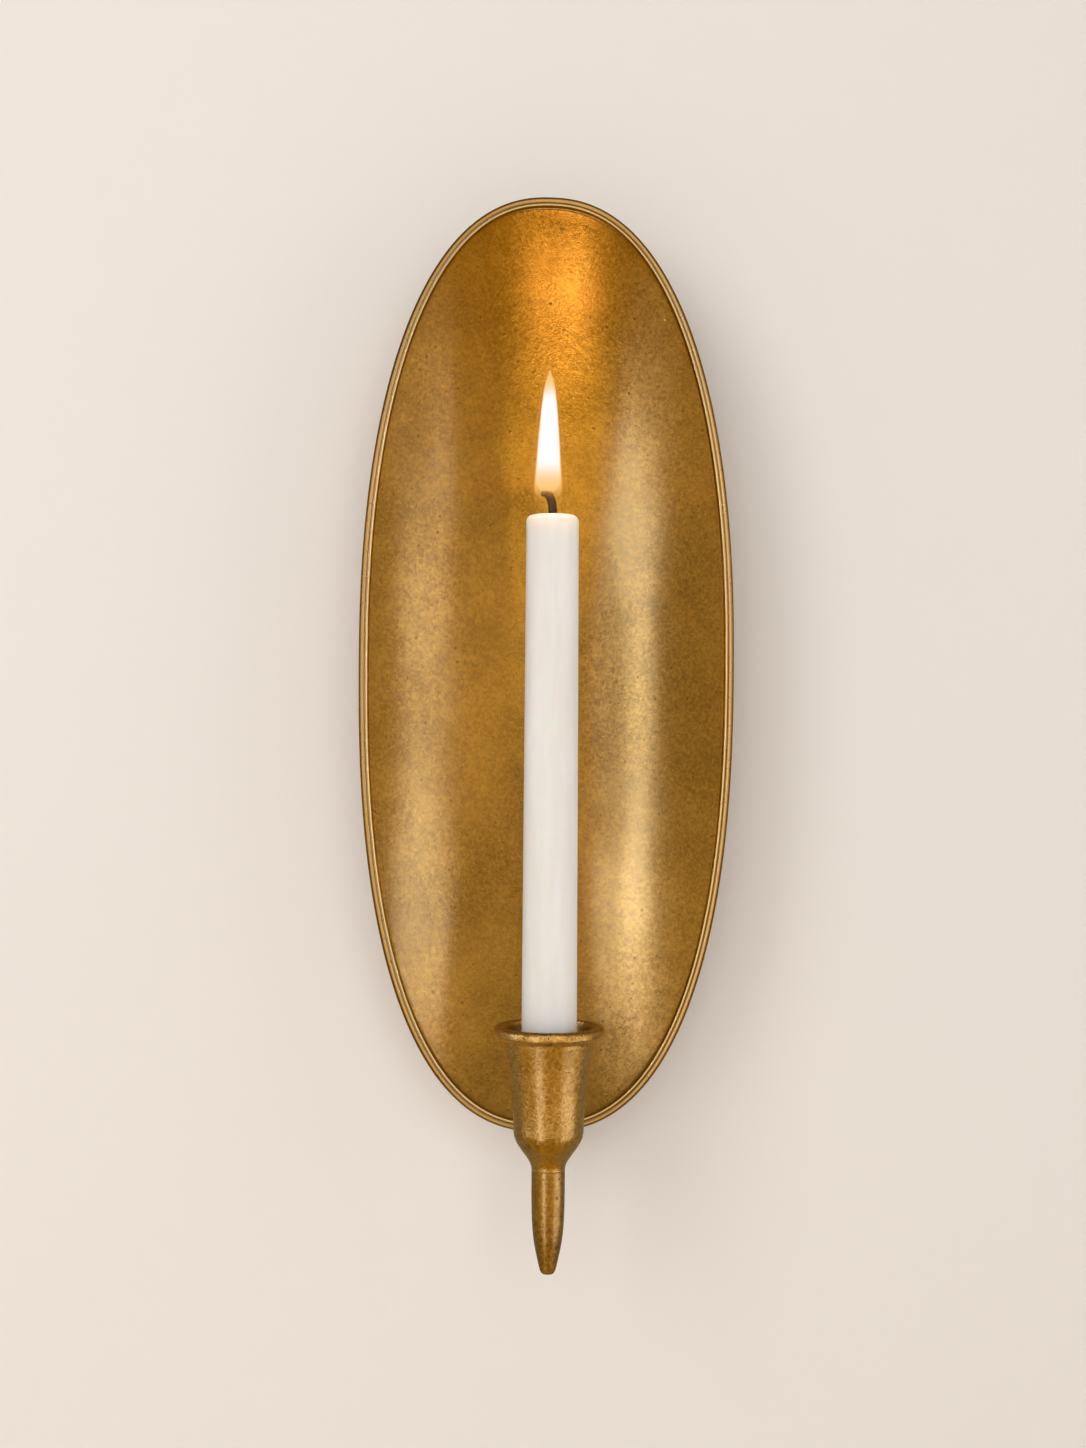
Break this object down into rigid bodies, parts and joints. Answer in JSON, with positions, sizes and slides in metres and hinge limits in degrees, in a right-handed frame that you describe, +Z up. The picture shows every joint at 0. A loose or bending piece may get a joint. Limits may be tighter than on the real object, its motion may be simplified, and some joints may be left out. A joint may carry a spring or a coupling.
{
  "type": "wall sconce candle holder",
  "caption": "Tall oval concave brass reflector with a turned cup holding a taper candle in front of its lower end, hooked onto a folded steel wall bracket.",
  "frame": {"origin": "centre of the wall bracket's back face, on the wall", "axes": "+Z up along the wall, +Y into the wall, +X to the right seen from the front"},
  "size_m": [0.161, 0.0927, 0.4542],
  "materials": {
    "antique_brass": "satin sheet brass with an even antique patina, fine scratches and small dark pits",
    "cast_brass": "turned cast brass, satin, with a darker patina in the pores",
    "zinc_steel": "dull zinc plated sheet steel",
    "black_rubber": "matt moulded rubber",
    "candle_wax": "smooth white candle wax with a soft sheen",
    "charred_cotton": "braided cotton wick, burnt black at the end"
  },
  "bodies": {
    "wall_bracket": {"wall_bracket": "zinc_steel"},
    "sconce": {"hanger_strap": "zinc_steel", "hanger_stud_upper": "cast_brass", "hanger_stud_lower": "cast_brass", "hanger_washer_upper": "zinc_steel", "hanger_washer_lower": "zinc_steel", "hanger_nut_upper": "zinc_steel", "hanger_nut_lower": "zinc_steel", "wall_bumper_left": "black_rubber", "wall_bumper_right": "black_rubber", "reflector_dish": "antique_brass", "rim_wire": "antique_brass", "candle_cup": "cast_brass", "tail_finial": "cast_brass", "support_arm": "cast_brass", "saddle_washer": "cast_brass", "spring_washer": "zinc_steel", "arm_screw": "cast_brass"},
    "candle": {"candle": "candle_wax", "wick": "charred_cotton"}
  },
  "joints": [
    {"name": "sconce_lift", "type": "slide", "parent": "wall_bracket", "child": "sconce", "axis": [0, 0, 1], "range_m": [0, 0.012]},
    {"name": "candle_lift", "type": "slide", "parent": "sconce", "child": "candle", "axis": [0, 0, 1], "range_m": [0, 0.06]}
  ]
}
